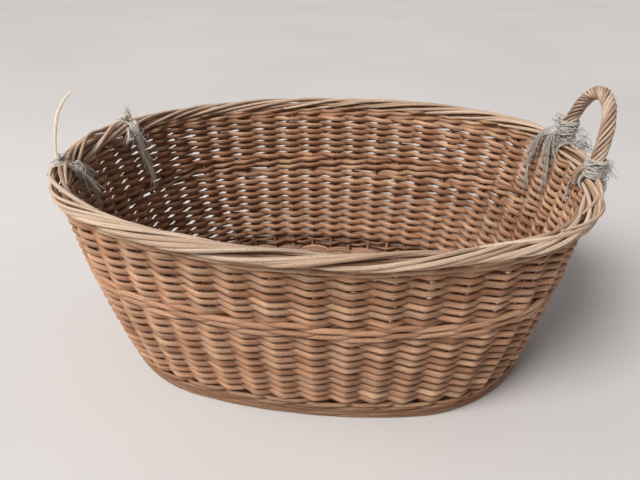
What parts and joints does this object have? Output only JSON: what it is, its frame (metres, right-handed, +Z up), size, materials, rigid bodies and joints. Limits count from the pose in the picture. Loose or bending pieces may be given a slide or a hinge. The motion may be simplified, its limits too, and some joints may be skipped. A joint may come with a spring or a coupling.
{
  "type": "wicker log basket",
  "caption": "Oval willow basket woven on upright stakes, with flared sides, a rolled rod border, one roped bow handle lashed on at an end, and old twine at the other end.",
  "frame": {"origin": "centre of the footprint at the underside of the foot", "axes": "+Z up, +X along the basket's length towards the end that has the handle, +Y across its width"},
  "size_m": [0.662, 0.5408, 0.3436],
  "materials": {
    "willow_base": "dry, dusty, matt willow rods",
    "willow_siding": "buff willow rods with bark stain, satin to matt",
    "willow_wale": "buff willow rods, slightly darker, matt",
    "willow_stake": "buff willow sticks, matt",
    "willow_pale": "weathered pale willow rods, matt and dry",
    "twine": "grey laid twine, hairy and frayed"
  },
  "bodies": {
    "root": {"base_cross_sticks": "willow_base", "base_long_sticks": "willow_base", "base_weave_lower": "willow_base", "base_weave_upper": "willow_base", "base_finish_row": "willow_base", "foot_wale_01": "willow_wale", "foot_wale_02": "willow_wale", "foot_wale_03": "willow_wale", "foot_wale_04": "willow_wale", "foot_wale_05": "willow_wale", "lower_row_01": "willow_siding", "lower_row_02": "willow_siding", "lower_row_03": "willow_siding", "lower_row_04": "willow_siding", "lower_row_05": "willow_siding", "lower_row_06": "willow_siding", "lower_row_07": "willow_siding", "lower_row_08": "willow_siding", "lower_row_09": "willow_siding", "lower_row_10": "willow_siding", "mid_wale_01": "willow_wale", "mid_wale_02": "willow_wale", "mid_wale_03": "willow_wale", "upper_row_01": "willow_siding", "upper_row_02": "willow_siding", "upper_row_03": "willow_siding", "upper_row_04": "willow_siding", "upper_row_05": "willow_siding", "upper_row_06": "willow_siding", "upper_row_07": "willow_siding", "top_wale_01": "willow_wale", "top_wale_02": "willow_wale", "stakes_right": "willow_stake", "stakes_back": "willow_stake", "stakes_left": "willow_stake", "stakes_front": "willow_stake", "border_rods_right": "willow_pale", "border_rods_back": "willow_pale", "border_rods_left": "willow_pale", "border_rods_front": "willow_pale", "handle_bow": "willow_pale", "handle_wrap_rods": "willow_pale", "lashing_front": "twine", "lashing_back": "twine", "knot_left_back": "twine", "knot_left_front": "twine", "tail_left_back": "twine", "tail_left_front": "twine", "tail_right_long": "twine", "tail_right_short": "twine", "tail_right_outer": "twine", "split_rod": "willow_pale"}
  },
  "joints": []
}
